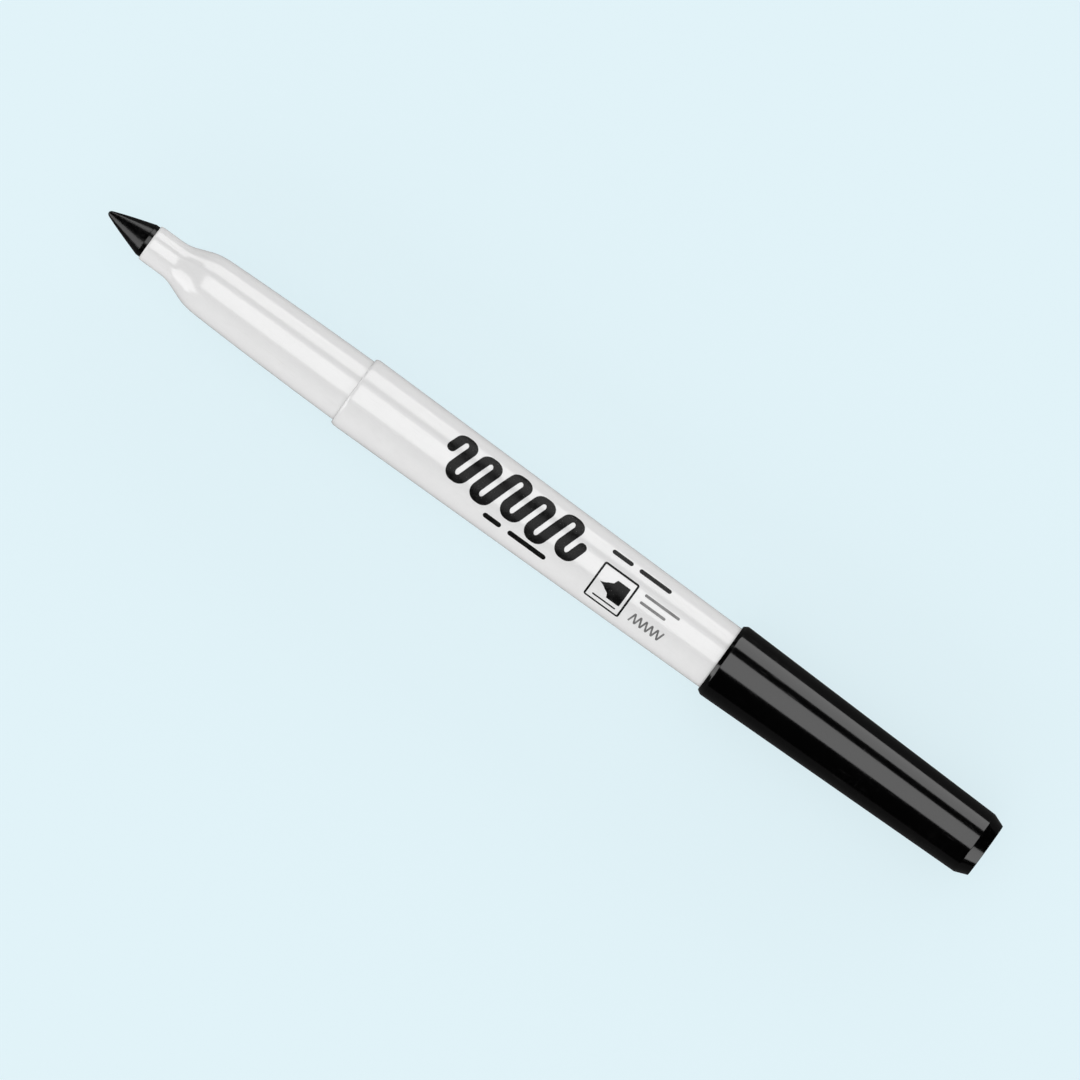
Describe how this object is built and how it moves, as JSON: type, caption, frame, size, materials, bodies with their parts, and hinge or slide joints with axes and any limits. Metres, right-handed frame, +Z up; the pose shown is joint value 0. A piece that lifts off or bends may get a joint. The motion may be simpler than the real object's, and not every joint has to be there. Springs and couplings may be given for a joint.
{
  "type": "whiteboard marker",
  "caption": "Slim dry-erase marker with a fine fibre nib, a tapered two-piece white body and a black cap posted on its rear end.",
  "frame": {"origin": "on the surface that the marker lies on, under the middle of its posted length", "axes": "+X along the marker from the nib to the closed end of the cap, +Z up out of the printed side, +Y across"},
  "size_m": [0.15, 0.0114, 0.0114],
  "materials": {
    "white_plastic": "moulded, semi-gloss, printed in black",
    "black_plastic": "moulded, glossy",
    "natural_plastic": "soft moulded, slightly waxy",
    "nib_fibre": "ground bonded fibre soaked with black ink",
    "inked_fibre": "bonded fibre soaked with black ink",
    "clear_film": "thin clear film"
  },
  "bodies": {
    "pen": {"nib": "nib_fibre", "nose_section": "white_plastic", "barrel": "white_plastic", "end_plug": "black_plastic", "reservoir_core": "inked_fibre", "reservoir_wrap": "clear_film", "breather_tube": "natural_plastic"},
    "cap": {"cap_shell": "black_plastic", "inner_cap": "natural_plastic"}
  },
  "joints": [
    {"name": "cap_pull", "type": "slide", "parent": "pen", "child": "cap", "axis": [1, 0, 0], "range_m": [0, 0.03]}
  ]
}
